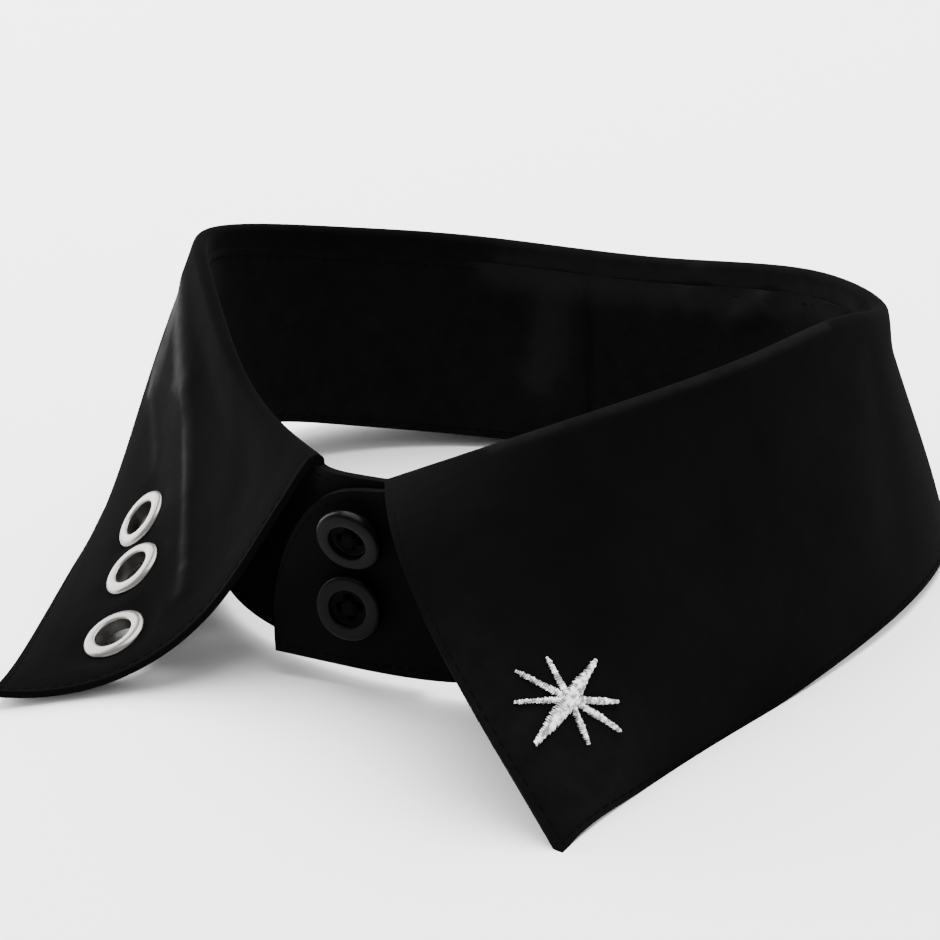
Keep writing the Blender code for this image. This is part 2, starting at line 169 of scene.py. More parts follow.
def natural_spline(knots, rows):
    """A smooth curve through rows at knots. The returned function gives its points and slopes."""
    knots = np.asarray(knots, float)
    rows = np.asarray(rows, float)
    count = len(knots)
    step = np.diff(knots)
    matrix = np.eye(count)
    right = np.zeros_like(rows)
    for k in range(1, count - 1):
        matrix[k, k - 1:k + 2] = step[k - 1], 2 * (step[k - 1] + step[k]), step[k]
        right[k] = 6 * ((rows[k + 1] - rows[k]) / step[k] - (rows[k] - rows[k - 1]) / step[k - 1])
    bend = np.linalg.solve(matrix, right)

    def curve(at):
        at = np.asarray(at, float)
        k = np.clip(np.searchsorted(knots, at) - 1, 0, count - 2)
        h = step[k][..., None]
        a = (knots[k + 1] - at)[..., None] / h
        b = (at - knots[k])[..., None] / h
        low, high = bend[k], bend[k + 1]
        points = a * rows[k] + b * rows[k + 1] + ((a**3 - a) * low + (b**3 - b) * high) * h * h / 6
        slopes = (rows[k + 1] - rows[k]) / h + ((3 * b * b - 1) * high - (3 * a * a - 1) * low) * h / 6
        return points, slopes

    return curve


NUMBERS = range(LAST + 1)
HEM = column(SECTIONS, SECTION_COLUMNS, "hem_x", "hem_y", "lift") - (0, 0, HEM_TRIM)
fold_line = natural_spline(NUMBERS, column(SECTIONS, SECTION_COLUMNS, "fold_x", "fold_y", "fold_z"))
hem_line = natural_spline(NUMBERS, HEM)
bow_line = natural_spline(NUMBERS, column(SECTIONS, SECTION_COLUMNS, "bow_up", "bow_low"))
turn_line = natural_spline(NUMBERS, column(SECTIONS, SECTION_COLUMNS, "turn"))
foot_line = natural_spline(
    [row[0] for row in reversed(UNDER_LAP)] + list(NUMBERS) + [row[0] for row in OVER_LAP],
    np.concatenate([
        column(UNDER_LAP, LAP_COLUMNS, "foot_x", "foot_y", "foot_z")[::-1],
        column(SECTIONS, SECTION_COLUMNS, "foot_x", "foot_y", "foot_z"),
        column(OVER_LAP, LAP_COLUMNS, "foot_x", "foot_y", "foot_z"),
    ]),
)


def fold_rise(section, share, folds):
    """How far soft folds lift the cloth's face at places on it."""
    here = np.stack(np.broadcast_arrays(section * SECTION_SPAN, share * LEAF_DEPTH), -1)
    rise = np.zeros(here.shape[:-1])
    for section_a, share_a, section_b, share_b, height, width in folds:
        start = np.array([section_a * SECTION_SPAN, share_a * LEAF_DEPTH])
        line = np.array([section_b * SECTION_SPAN, share_b * LEAF_DEPTH]) - start
        way = np.clip((here - start) @ line / (line @ line), 0, 1)
        away = np.linalg.norm(here - start - way[..., None] * line, axis=-1)
        rise += height * np.exp(-(away / width)**2)
    return rise


def fall_point(section, share):
    """Points of the leaf's outer face, share of the way from the fold to the hem."""
    section, share = np.broadcast_arrays(np.asarray(section, float), np.asarray(share, float))
    fold, fold_slope = fold_line(section)
    hem, hem_slope = hem_line(section)
    bow, _ = bow_line(section)
    outward = unit(np.cross(fold_slope + hem_slope, hem - fold))
    upper = 13.5 * share * (share - 1) * (share - 2 / 3)
    lower = -13.5 * share * (share - 1) * (share - 1 / 3)
    stand_off = bow[..., 0] * upper + bow[..., 1] * lower
    stand_off = stand_off + fold_rise(section, share, FOLDS) * np.minimum(1.0, 6 * share)
    return fold + (hem - fold) * share[..., None] + outward * stand_off[..., None]


# The step, in sections and in shares, over which slopes are measured
SLOPE_STEP = 0.01


def fall_frame(section, share):
    """Points of the leaf's outer face with their outward directions and their two slopes."""
    d = SLOPE_STEP
    along = (fall_point(section + d, share) - fall_point(section - d, share)) / (2 * d)
    down = (fall_point(section, share + d) - fall_point(section, share - d)) / (2 * d)
    return fall_point(section, share), unit(np.cross(along, down)), along, down


def roll_frame(section):
    """The roll at the top of each section: its middle, its sides' directions, and the way down inside."""
    section = np.asarray(section, float)
    fold, slope = fold_line(section)
    _, outer_side, _, _ = fall_frame(section, np.full(section.shape, 0.01))
    middle = fold - np.array([0, 0, ROLL_RADIUS])
    foot, _ = foot_line(section)
    across = unit(np.cross(slope, foot - middle))
    inner_side = np.where((dot(across, outer_side) > 0)[..., None], -across, across)
    leg_start = middle + inner_side * (ROLL_RADIUS - LEAF_THICK / 2)
    return middle, outer_side, inner_side, leg_start, unit(foot - leg_start)


def between(first, second, share):
    """The directions share of the way round from first to second."""
    angle = np.arccos(np.clip(dot(first, second), -1, 1))[..., None]
    return (np.sin((1 - share) * angle) * first + np.sin(share * angle) * second) / np.sin(angle)


def on_leaf(place, right, up):
    """The sections and shares that lie right and up of a place on the leaf."""
    middle, outward, _, down = fall_frame(*place)
    up_way = unit(-down)
    right_way = np.cross(up_way, outward)
    goal = middle + right_way * np.asarray(right)[..., None] + up_way * np.asarray(up)[..., None]
    section = np.full(goal.shape[:-1], float(place[0]))
    share = np.full(goal.shape[:-1], float(place[1]))
    for _ in range(5):
        point, _, along, down = fall_frame(section, share)
        left = goal - point
        aa, ad, dd = dot(along, along), dot(along, down), dot(down, down)
        la, ld = dot(left, along), dot(left, down)
        size = aa * dd - ad * ad
        section = section + (la * dd - ld * ad) / size
        share = share + (ld * aa - la * ad) / size
    return section, share


# Meshes

def add_piece(name, mesh, look, nodes):
    """A piece of the collar that rides with it and stands for the named solids."""
    made = bpy.data.objects.new(name, mesh)
    bpy.context.scene.collection.objects.link(made)
    mesh.materials.append(look)
    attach(made, "root")
    if nodes:
        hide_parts(*nodes)
    return made


def grid_mesh(name, points, flat, keep=None):
    """A sheet through a grid of points, with its flat places in metres as its UV map."""
    columns, rows = points.shape[:2]
    c, r = np.meshgrid(np.arange(columns - 1), np.arange(rows - 1), indexing="ij")
    first = (c * rows + r).ravel()
    faces = np.stack([first, first + 1, first + rows + 1, first + rows], 1)
    if keep is not None:
        faces = faces[keep.ravel()]
    mesh = bpy.data.meshes.new(name)
    mesh.from_pydata((points.reshape(-1, 3) * MM).tolist(), [], faces.tolist())
    places = (flat.reshape(-1, 2) * MM)[faces.ravel()]
    layer = mesh.uv_layers.new(name="cut")
    layer.data.foreach_set("uv", places.ravel())
    mesh.shade_smooth()
    return mesh


def paint_light_and_wear(mesh, flat, lines, ground=0.0):
    """Marks where light and shade are painted into the cloth's colour, with some wear: lines between places
    drawn flat, each with a strength and a width.
    """
    light_and_wear = np.full(flat.shape[:-1], float(ground))
    for section_a, depth_a, section_b, depth_b, strength, width in lines:
        start = np.array([section_a * SECTION_SPAN, depth_a])
        line = np.array([section_b * SECTION_SPAN, depth_b]) - start
        way = np.clip((flat - start) @ line / (line @ line), 0, 1)
        away = np.linalg.norm(flat - start - way[..., None] * line, axis=-1)
        light_and_wear = light_and_wear + strength * np.exp(-(away / width)**2)
    mesh.attributes.new("painted_light_and_wear", "FLOAT", "POINT").data.foreach_set("value", light_and_wear.ravel())


# The cloth stays this far over the table, so that the two don't share a surface.
TABLE_GAP = 0.02


def thicken(piece, thickness, offset, edge):
    """Gives a sheet its thickness and soft turned edges."""
    wall = piece.modifiers.new("Plies", "SOLIDIFY")
    wall.thickness = thickness * MM
    wall.offset = offset
    wall.use_even_offset = True
    wall.bevel_convex = 0
    turned_edge = piece.modifiers.new("Turned edge", "BEVEL")
    turned_edge.limit_method = "ANGLE"
    turned_edge.angle_limit = math.radians(50)
    turned_edge.width = edge * MM
    turned_edge.segments = 3
    made = bpy.data.meshes.new_from_object(piece.evaluated_get(bpy.context.evaluated_depsgraph_get()))
    for corner in made.vertices:
        corner.co.z = max(corner.co.z, TABLE_GAP * MM)
    piece.modifiers.clear()
    piece.data = made


def spaced(start, end, count, tight_start=(), tight_end=()):
    """Even steps from start up to end, with extra ones at given distances from the two ends."""
    steps = np.linspace(start, end, count + 1)[1:-1]
    near_start = [start + d for d in tight_start]
    near_end = [end - d for d in tight_end]
    margin_start = max(tight_start, default=0) + (end - start) / count * 0.5
    margin_end = max(tight_end, default=0) + (end - start) / count * 0.5
    inner = [x for x in steps if x - start > margin_start and end - x > margin_end]
    return np.array([start, *near_start, *inner, *sorted(near_end), end])


# Extra rows of the grids near an edge, and how far in the topstitching runs
EDGE_STEPS = (0.35, 0.75, 1.05, 1.35, 1.8, 2.6)
LEAF_STITCH_LINE = 1.2
STAND_STITCH_LINE = 1.5


# Leaf

# The flange holds the cloth flat up to its rim and presses it in a little; past that the cloth eases back.
EYELET_HOLD = (0.2, 4.0)
EYELET_PRESS = 0.15


def pressed_flat(points, section, share):
    """Cloth points drawn flat under each eyelet's flange, which clamps the plies together."""
    for place in EYELETS:
        middle, normal, _, _ = fall_frame(*np.array(place))
        near = section - place[0]
        height = dot(points - middle, normal)
        away = np.linalg.norm(points - middle - height[..., None] * normal, axis=-1)
        flat_to, eased_by = EYELET_HOLD
        hold = (1 - ramp(away, EYELET_RADIUS + flat_to, EYELET_RADIUS + eased_by)) * (np.abs(near) < 1)
        points = points - normal * (hold * (height + EYELET_PRESS))[..., None]
    return points


def leaf_face(columns, way):
    """The leaf's outer face from the hem over the roll to its seam inside: points and flat places."""
    middle, outer_side, inner_side, _, inward_down = roll_frame(columns)
    fold, _ = fold_line(columns)
    hem, _ = hem_line(columns)
    length = np.linalg.norm(hem - fold, axis=-1)
    start = ROLL_RADIUS * np.sqrt(1 - outer_side[:, 2]**2) / length
    bulge = ROLL_RADIUS * (1 - outer_side[:, 2])
    share = 1 + (start[:, None] - 1) * way
    section = np.broadcast_to(columns[:, None], share.shape)
    points, normal, along, down = fall_frame(section, share)
    rise = fold_rise(section, share, CREASES) * ramp(share * LEAF_DEPTH, 0, CREASE_START)
    edge = np.minimum(
        np.minimum(section - LEAF_ENDS[0], LEAF_ENDS[1] - section) * np.linalg.norm(along, axis=-1),
        (1 - share) * np.linalg.norm(down, axis=-1),
    )
    pull = STITCH_PULL * np.exp(-((edge - LEAF_STITCH_LINE) / STITCH_PULL_WIDTH)**2)
    rise = rise - pull + TURNED_PLY * (1 - ramp(edge, *TURNED_PLY_END))
    ease = np.clip(1 - (share - start[:, None]) * length[:, None] / ROLL_EASE, 0, None)
    points = points + normal * rise[..., None]
    points = points + outer_side[:, None] * (bulge[:, None] * ease * ease * (3 - 2 * ease))[..., None]
    points = pressed_flat(points, section, share)
    points[..., 2] = np.maximum(points[..., 2], TABLE_GAP)
    rows = [points[:, k] for k in range(points.shape[1])]
    depths = [share[:, k] * LEAF_DEPTH for k in range(share.shape[1])]
    for k in range(1, ROLL_STEPS + 1):
        rows.append(middle + ROLL_RADIUS * between(outer_side, inner_side, k / ROLL_STEPS))
        depths.append(depths[len(way) - 1] - ROLL_LENGTH * k / ROLL_STEPS)
    turn, _ = turn_line(columns)
    for k in range(1, TURN_STEPS + 1):
        rows.append(rows[len(way) - 1 + ROLL_STEPS] + inward_down * turn * k / TURN_STEPS)
        depths.append(depths[len(way) - 1 + ROLL_STEPS] - turn[:, 0] * k / TURN_STEPS)
    depths = np.stack(depths, 1)
    flat = np.stack([np.broadcast_to(columns[:, None] * SECTION_SPAN, depths.shape), depths], -1)
    return np.stack(rows, 1), flat


# Creases and dents of the leaf's fall, in columns as FOLDS: first those that the photograph shows, then
# more on the sides and the back. They grow to their full height this far under the fold.
CREASE_START = 8
CREASES = (
    (2.45, 0.13, 1.78, 0.29, 0.7, 4.5),
    (1.78, 0.29, 0.50, 0.50, 0.28, 1.7),
    (1.78, 0.29, 0.50, 0.50, 0.35, 4.5),
    (2.35, 0.468, 1.82, 0.518, 0.25, 2.0),
    (0.85, 0.04, 0.60, 0.20, -0.45, 5.0),
    (3.30, 0.12, 3.10, 0.62, 0.55, 4.5),
    (4.35, 0.10, 4.05, 0.72, -0.5, 5.5),
    (5.20, 0.08, 5.35, 0.55, 0.5, 5.0),
    (6.10, 0.30, 5.90, 0.90, 0.45, 6.0),
    (6.90, 0.06, 7.15, 0.60, -0.5, 5.0),
    (7.70, 0.12, 7.45, 0.75, 0.55, 4.5),
    (8.60, 0.20, 8.75, 0.80, -0.45, 5.5),
)
# Painted light on the leaf, with some wear: painted highlights along the creases of the left fall and along
# the right fold, a paler painted patch at the right tip, painted light on the band inside the roll, and
# paler crests on the creases of the sides and back, part wear and part painted highlight. Section and depth
# under the fold in millimetres, twice, then strength and width. Depths on the roll and inside it are below
# zero.
LEAF_PAINTED_LIGHT_AND_WEAR = (
    (2.40, 10.0, 1.95, 19.0, 0.8, 3.2),
    (2.48, 15.0, 2.42, 28.0, 0.7, 4.0),
    (2.20, 22.0, 1.50, 30.0, 0.2, 7.0),
    (1.85, 17.5, 1.29, 24.4, 0.4, 1.8),
    (1.58, 22.3, 0.69, 29.5, 0.45, 1.0),
    (0.69, 29.5, 0.50, 31.8, 0.3, 1.0),
    (2.35, 29.5, 1.82, 32.6, 0.25, 1.2),
    (11.90, 42.0, 11.00, 60.0, 0.12, 14.0),
    (9.20, 0.6, 11.40, 0.6, 0.22, 0.8),
    (5.15, -4.5, 6.25, -4.5, 0.3, 3.5),
    (6.25, -4.0, 7.50, -4.5, 0.25, 3.0),
    (3.00, -6.0, 8.60, -6.0, 0.09, 4.0),
    (3.30, 8.0, 3.10, 38.0, 0.14, 1.8),
    (5.20, 6.0, 5.35, 34.0, 0.12, 1.8),
    (7.70, 8.0, 7.45, 46.0, 0.14, 1.8),
)
# The leaf's grid: columns round the neck, then rows down the fall, over the roll and inside. Then the
# roll's length, and about how far apart sections lie at the leaf's ends.
LEAF_COLUMNS = 330
FALL_ROWS = 84
ROLL_STEPS = 10
TURN_STEPS = 4
ROLL_LENGTH = 3.6
END_SPAN = 26
# The topstitching pulls a groove, and the seam allowance inside raises the edge as far in as it reaches.
STITCH_PULL = 0.1
STITCH_PULL_WIDTH = 0.35
TURNED_PLY = 0.12
TURNED_PLY_END = (5.0, 7.0)
# An eyelet's hole is wider than the bore by this much, and is cut no further than this from its flange.
HOLE_EASE = 0.7
HOLE_REACH = 5
LEAF_EDGE = 0.35


def make_leaf(cotton):
    end_steps = [d / END_SPAN for d in EDGE_STEPS]
    columns = spaced(*LEAF_ENDS, LEAF_COLUMNS, end_steps, end_steps)
    way = spaced(0.0, 1.0, FALL_ROWS, [d / LEAF_DEPTH for d in EDGE_STEPS])
    points, flat = leaf_face(columns, way)
    centres = (points[:-1, :-1] + points[1:, 1:] + points[1:, :-1] + points[:-1, 1:]) / 4
    keep = np.ones(centres.shape[:2], bool)
    for place in EYELETS:
        middle, normal, _, _ = fall_frame(*np.array(place))
        off = centres - middle
        height = dot(off, normal)
        away = np.linalg.norm(off - height[..., None] * normal, axis=-1)
        keep &= (away > EYELET_BORE + HOLE_EASE) | (np.abs(height) > HOLE_REACH)
    mesh = grid_mesh("collar_leaf", points, flat, keep)
    # Painted highlights and painted light, with some wear, go into the leaf's colour here.
    paint_light_and_wear(mesh, flat, LEAF_PAINTED_LIGHT_AND_WEAR)
    leaf = add_piece("collar_leaf", mesh, cotton, ["leaf"])
    thicken(leaf, LEAF_THICK, -1, LEAF_EDGE)
    return leaf


# Stand

def sewn_edge(section):
    """The stand's top edge inside the roll: under the leaf's edge, or up over it where that goes deep."""
    _, _, _, leg_start, inward_down = roll_frame(section)
    turn, _ = turn_line(section)
    return leg_start + inward_down * (turn + SEAM_GAP - SEAM_OVERLAP * ramp(turn, 0.3, 1.5))


def stand_top(section):
    section = np.asarray(section, float)
    top = sewn_edge(np.clip(section, 0, LAST))
    for laps, inside, past in (
            (UNDER_LAP, (0.5, 0.25, 0.0), section < 0),
            (OVER_LAP, (LAST - 0.5, LAST - 0.25, LAST), section > LAST)):
        knots = np.array(list(inside) + [row[0] for row in laps])
        tops = column(laps, LAP_COLUMNS, "top_x", "top_y", "top_z")
        rows = np.concatenate([sewn_edge(np.array(inside, float)), tops])
        order = np.argsort(knots)
        top = np.where(past[..., None], natural_spline(knots[order], rows[order])(section)[0], top)
    return top


def corner_drop(section):
    """Share of the stand's height that the rounded corners take off."""
    drop = np.zeros(np.shape(section))
    for (start, height), end in ((UNDER_CORNER, UNDER_LAP[-1][0]), (OVER_CORNER, OVER_LAP[-1][0])):
        way = np.clip((section - start) / (end - start), 0, 1)
        drop = drop + height * (1 - np.sqrt(1 - way * way))
    return drop


def stand_point(section, share):
    """Points of the middle of the stand's wall, share of the way from its top edge to its foot."""
    section, share = np.broadcast_arrays(np.asarray(section, float), np.asarray(share, float))
    top = stand_top(section)
    foot, _ = foot_line(section)
    part = corner_drop(section) + (1 - corner_drop(section)) * share
    return top + (foot - top) * part[..., None]


def stand_frame(section, share):
    """Points of the stand's middle with their outward directions and their two slopes."""
    d = SLOPE_STEP
    along = (stand_point(section + d, share) - stand_point(section - d, share)) / (2 * d)
    down = stand_point(section, share + d) - stand_point(section, share - d)
    return stand_point(section, share), unit(np.cross(along, down)), along, down / (2 * d)


# The stand's creases, in columns as FOLDS. Shares are of the leaf's depth, so the foot is at STAND_SHARE.
STAND_SHARE = 0.6
STAND_CREASES = (
    (5.66, 0.0, 5.56, 0.45, 0.3, 1.0),
    (5.02, 0.06, 5.60, 0.08, -0.7, 3.0),
    (5.66, 0.07, 6.20, 0.04, -0.7, 3.0),
    (6.25, 0.01, 6.48, 0.10, -0.8, 2.4),
    (6.48, 0.10, 6.72, 0.02, -0.8, 2.2),
    (6.74, 0.02, 6.98, 0.10, -0.7, 2.2),
    (5.45, 0.05, 5.28, 0.38, -0.6, 3.0),
    (4.98, 0.08, 4.85, 0.22, 0.6, 3.0),
    (7.2, 0.0, 7.6, 0.15, -0.5, 4.0),
)
# Painted light and shade on the stand, in columns as LEAF_PAINTED_LIGHT_AND_WEAR: painted light on the band
# and streaks inside the back, painted shade along the back seam and over the fronts by the throat. The
# whole stand is painted a little paler all over, which a negative strength takes off.
STAND_GROUND_PAINTED_LIGHT = 0.1
STAND_PAINTED_LIGHT = (
    (5.05, 1.5, 6.20, 1.5, 0.35, 3.0),
    (6.20, 1.5, 7.30, 2.0, 0.25, 2.5),
    (5.42, 3.0, 5.28, 24.0, 0.25, 3.0),
    (6.52, 4.0, 6.68, 1.0, 0.25, 2.0),
    (5.61, 0.0, 5.56, 30.0, -0.1, 0.8),
    (-1.00, 19.0, 0.60, 19.0, -0.1, 25.0),
    (11.60, 19.0, 13.00, 19.0, -0.1, 25.0),
)
STAND_COLUMNS = 400
STAND_ROWS = 38
STAND_EDGE = 0.45


def make_stand(cotton):
    corners = np.sin(np.radians(90 * np.arange(1, 17) / 16))
    under = UNDER_CORNER[0] + (UNDER_LAP[-1][0] - UNDER_CORNER[0]) * corners
    over = OVER_CORNER[0] + (OVER_LAP[-1][0] - OVER_CORNER[0]) * corners
    middle = np.linspace(UNDER_CORNER[0], OVER_CORNER[0], STAND_COLUMNS)
    columns = np.concatenate([under[::-1], middle, over])
    edge_steps = [d / STAND_HEIGHT for d in EDGE_STEPS]
    share = spaced(0.0, 1.0, STAND_ROWS, edge_steps, edge_steps)
    grid_section, grid_share = np.meshgrid(columns, share, indexing="ij")
    points, normal, _, _ = stand_frame(grid_section, grid_share)
    rise = fold_rise(grid_section, grid_share * STAND_SHARE, STAND_CREASES)
    points = points + normal * rise[..., None]
    flat = np.stack([grid_section * SECTION_SPAN, grid_share * STAND_HEIGHT + STAND_FLAT_START], -1)
    mesh = grid_mesh("collar_stand", points, flat)
    # Painted light inside the back and painted shade on the fronts go into the stand's colour here.
    paint_light_and_wear(mesh, flat - (0, STAND_FLAT_START), STAND_PAINTED_LIGHT, STAND_GROUND_PAINTED_LIGHT)
    stand = add_piece("collar_stand", mesh, cotton, ["stand"])
    thicken(stand, STAND_THICK, 0, STAND_EDGE)
    return stand


# Sewing

STITCH_PITCH = 2.3
STITCH_LENGTH = 1.85
THREAD_RADIUS = 0.11
# How far a stitch's middle lies over the cloth, and how near the table it may come
THREAD_LIFT = 0.02
STITCH_FLOOR = 0.3
# About how long the leaf's front edges are, and how far from the ends the long rows start, in sections
FRONT_EDGE = 60
ROW_INSET = 0.06
# A stitch's rings: place along it in stitch lengths, then width and rise in thread radii
STITCH_RINGS = (
    (-0.5, 0.3, -0.5),
    (-0.38, 0.85, 0.0),
    (-0.15, 1.0, 0.35),
    (0.15, 1.0, 0.35),
    (0.38, 0.85, 0.0),
    (0.5, 0.3, -0.5),
)
STITCH_SIDES = 6


def tube_faces(first, rings, sides):
    """The faces of a round strand whose rings of points start at a number, closed at both ends."""
    faces = []
    for ring in range(rings - 1):
        low, high = first + ring * sides, first + (ring + 1) * sides
        for k in range(sides):
            n = (k + 1) % sides
            faces.append((low + k, low + n, high + n, high + k))
    faces.append(tuple(first + k for k in reversed(range(sides))))
    faces.append(tuple(first + (rings - 1) * sides + k for k in range(sides)))
    return faces


def strand_mesh(name, points, faces):
    """A smooth mesh of points in millimetres."""
    mesh = bpy.data.meshes.new(name)
    mesh.from_pydata((np.array(points) * MM).tolist(), [], faces)
    mesh.shade_smooth()
    return mesh


def stitch_mesh(name, runs):
    """Short raised stitches along runs of points with their outward directions."""
    angles = [2 * math.pi * k / STITCH_SIDES for k in range(STITCH_SIDES)]
    sides = [(math.cos(angle), math.sin(angle)) for angle in angles]
    points, faces = [], []
    for line, normals in runs:
        steps = np.linalg.norm(np.diff(line, axis=0), axis=1)
        length = np.concatenate([[0], np.cumsum(steps)])
        count = int(length[-1] // STITCH_PITCH)
        if count < 1:
            continue
        centre_at = (np.arange(count) + 0.5) * length[-1] / count
        spots = [np.stack([np.interp(centre_at + shift, length, line[:, k]) for k in range(3)], 1)
                 for shift in (-STITCH_LENGTH / 2, 0, STITCH_LENGTH / 2)]
        out = unit(np.stack([np.interp(centre_at, length, normals[:, k]) for k in range(3)], 1))
        along = unit(spots[2] - spots[0])
        side = unit(np.cross(out, along))
        for middle, a, b, c in zip(spots[1], along, side, out):
            first = len(points)
            for x, wide, lift in STITCH_RINGS:
                for u, v in sides:
                    points.append(middle + a * x * STITCH_LENGTH + b * u * wide * THREAD_RADIUS
                                  + c * (v * wide + lift) * THREAD_RADIUS)
            faces.extend(tube_faces(first, len(STITCH_RINGS), STITCH_SIDES))
    return strand_mesh(name, points, faces)


def leaf_run(sections, shares, side):
    """A sewn line on the leaf's outer or inner face."""
    points, normal, _, _ = fall_frame(sections, shares)
    points = points + normal * THREAD_LIFT
    if side < 0:
        points = points - normal * (LEAF_THICK + 2 * THREAD_LIFT)
    points[..., 2] = np.maximum(points[..., 2], STITCH_FLOOR)
    return points, normal * side


def sew_leaf(thread):
    """Topstitching a little in from the leaf's hem and front edges, on both faces."""
    runs = []
    for side in (1, -1):
        t = np.linspace(0.12, 1 - LEAF_STITCH_LINE / FRONT_EDGE, 90)
        for end, sign in ((LEAF_ENDS[0], 1), (LEAF_ENDS[1], -1)):
            _, _, along, _ = fall_frame(np.full(t.shape, end), t)
            runs.append(leaf_run(end + sign * LEAF_STITCH_LINE / np.linalg.norm(along, axis=-1), t, side))
        s = np.linspace(LEAF_ENDS[0] + ROW_INSET, LEAF_ENDS[1] - ROW_INSET, 500)
        _, _, _, down = fall_frame(s, np.full(s.shape, 1.0))
        runs.append(leaf_run(s, 1 - LEAF_STITCH_LINE / np.linalg.norm(down, axis=-1), side))
    mesh = stitch_mesh("leaf_topstitching", runs)
    return add_piece("leaf_topstitching", mesh, thread, [])


def sew_stand(thread):
    """Topstitching along the stand's edges, on both faces."""
    runs = []
    for side in (1, -1):
        lift = STAND_THICK / 2 + THREAD_LIFT
        for near_top in (True, False):
            s = np.linspace(UNDER_LAP[-1][0] + ROW_INSET, OVER_LAP[-1][0] - 0.05, 520)
            _, _, _, down = stand_frame(s, np.full(s.shape, 0.5))
            inset = STAND_STITCH_LINE / np.linalg.norm(down, axis=-1)
            points, normal, _, _ = stand_frame(s, inset if near_top else 1 - inset)
            runs.append((points + normal * side * lift, normal * side))
        for end, sign in ((UNDER_LAP[-1][0], 1), (OVER_LAP[-1][0], -1)):
            t = np.linspace(0.06, 0.96, 60)
            _, _, along, _ = stand_frame(np.full(t.shape, end + sign * 0.02), t)
            inset = STAND_STITCH_LINE / np.linalg.norm(along, axis=-1)
            points, normal, _, _ = stand_frame(end + sign * inset, t)
            runs.append((points + normal * side * lift, normal * side))
    mesh = stitch_mesh("stand_topstitching", runs)
    return add_piece("stand_topstitching", mesh, thread, [])


# Trims

def turned_mesh(name, profile, steps):
    """A profile of radius and height turned about Z. One that starts on the axis is closed there."""
    shape = bmesh.new()
    rings = []
    for radius, height in profile:
        if radius == 0:
            rings.append([shape.verts.new((0, 0, MM * height))])
            continue
        angles = [2 * math.pi * k / steps for k in range(steps)]
        places = [(MM * radius * math.cos(a), MM * radius * math.sin(a), MM * height) for a in angles]
        rings.append([shape.verts.new(place) for place in places])
    if profile[0][0] > 0:
        rings.append(rings[0])
    for low, high in zip(rings, rings[1:]):
        for k in range(steps):
            n = (k + 1) % steps
            corners = [low[k % len(low)], low[n % len(low)], high[n % len(high)], high[k % len(high)]]
            shape.faces.new(list(dict.fromkeys(corners)))
    bmesh.ops.recalc_face_normals(shape, faces=shape.faces)
    mesh = bpy.data.meshes.new(name)
    shape.to_mesh(mesh)
    shape.free()
    mesh.shade_smooth()
    mesh.set_sharp_from_angle(angle=math.radians(55))
    return mesh


def facing(point, normal):
    """The placement of a piece whose own Z looks along normal, at a point."""
    turn = Vector(normal).to_track_quat("Z", "Y").to_matrix().to_4x4()
    return Matrix.Translation(Vector(point) * MM) @ turn


def arc(radius, height, wide, tall, start, end, count):
    """Points of a rounded edge about a middle, between two angles in degrees."""
    angles = np.radians(np.linspace(start, end, count))
    return [(radius + wide * math.cos(a), height + tall * math.sin(a)) for a in angles]


def make_eyelets(nickel, shaded_barrel_nickel):
    """Pressed eyelets: a domed flange outside, a dull barrel painted darker as shade through the cloth, a
    rolled washer behind.
    """
    back = -LEAF_THICK - 0.2
    barrel = EYELET_BORE + 0.35
    profile = arc(EYELET_BORE + 0.4, EYELET_CROWN - 0.45, 0.4, 0.4, 180, 100, 9)
    profile += arc(EYELET_RADIUS - 1.5, 0.0, 1.5, EYELET_CROWN, 85, 0, 13)
    profile += [(EYELET_RADIUS - 0.12, -0.1), (barrel, -0.1), (barrel, back), (4.55, back)]
    profile += arc(4.3, back - 0.3, 0.4, 0.3, 60, -90, 6)
    profile += [(EYELET_BORE + 0.25, back - 0.6), (EYELET_BORE, back - 0.35)]
    for number, place in enumerate(EYELETS, 1):
        middle, normal, _, _ = fall_frame(*np.array(place))
        mesh = turned_mesh("eyelet_%d_metal" % number, profile, 96)
        # The deeper barrel wall gets the darker plate: painted shade in the bore.
        for face in mesh.polygons:
            x, y, z = face.center / MM
            face.material_index = int(math.hypot(x, y) < EYELET_BORE + 0.1 and z < -SHADED_BARREL_START)
        mesh.transform(facing(middle - normal * EYELET_SEAT, normal))
        add_piece("eyelet_%d_metal" % number, mesh, nickel, ["eyelet_%d" % number])
        mesh.materials.append(shaded_barrel_nickel)


def tube_mesh(name, lines, radius, sides=8):
    """Round strands along lines of points, closed at both ends."""
    points, faces = [], []
    for line in lines:
        line = np.asarray(line, float)
        slope = unit(np.gradient(line, axis=0))
        guide = np.array([0.31, 0.17, 0.93])
        first_side = unit(np.cross(slope, guide))
        second_side = np.cross(slope, first_side)
        first = len(points)
        for k in range(len(line)):
            thin = 0.55 if k in (0, len(line) - 1) else 1.0
            for n in range(sides):
                a = 2 * math.pi * n / sides
                out = math.cos(a) * first_side[k] + math.sin(a) * second_side[k]
                points.append(line[k] + radius * thin * out)
        faces.extend(tube_faces(first, len(line), sides))
    return strand_mesh(name, points, faces)


def button_profile():
    """Half of a button cut through, from the back's middle round the rim to the sunk middle."""
    radius, floor = BUTTON_RADIUS, BUTTON_FLOOR
    profile = [(0, 0), (radius - 2.0, 0), (radius - 1.2, 0.08), (radius - 0.5, 0.4), (radius - 0.1, 0.9),
               (radius, 1.4)]
    profile += arc(radius - 0.75, 1.75, 0.75, BUTTON_THICK - 1.8, 85, 0, 9)[::-1]
    profile += [(4.4, BUTTON_THICK)]
    profile += arc(3.6, 2.25, 0.36, BUTTON_THICK - 2.27, 175, 95, 6)[::-1]
    profile += [(3.22, 2.2)]
    profile += arc(2.65, floor + 0.35, 0.5, 0.35, -70, 0, 5)[::-1]
    profile += [(2.6, floor), (1.6, floor - 0.05), (0, floor - 0.1)]
    return profile


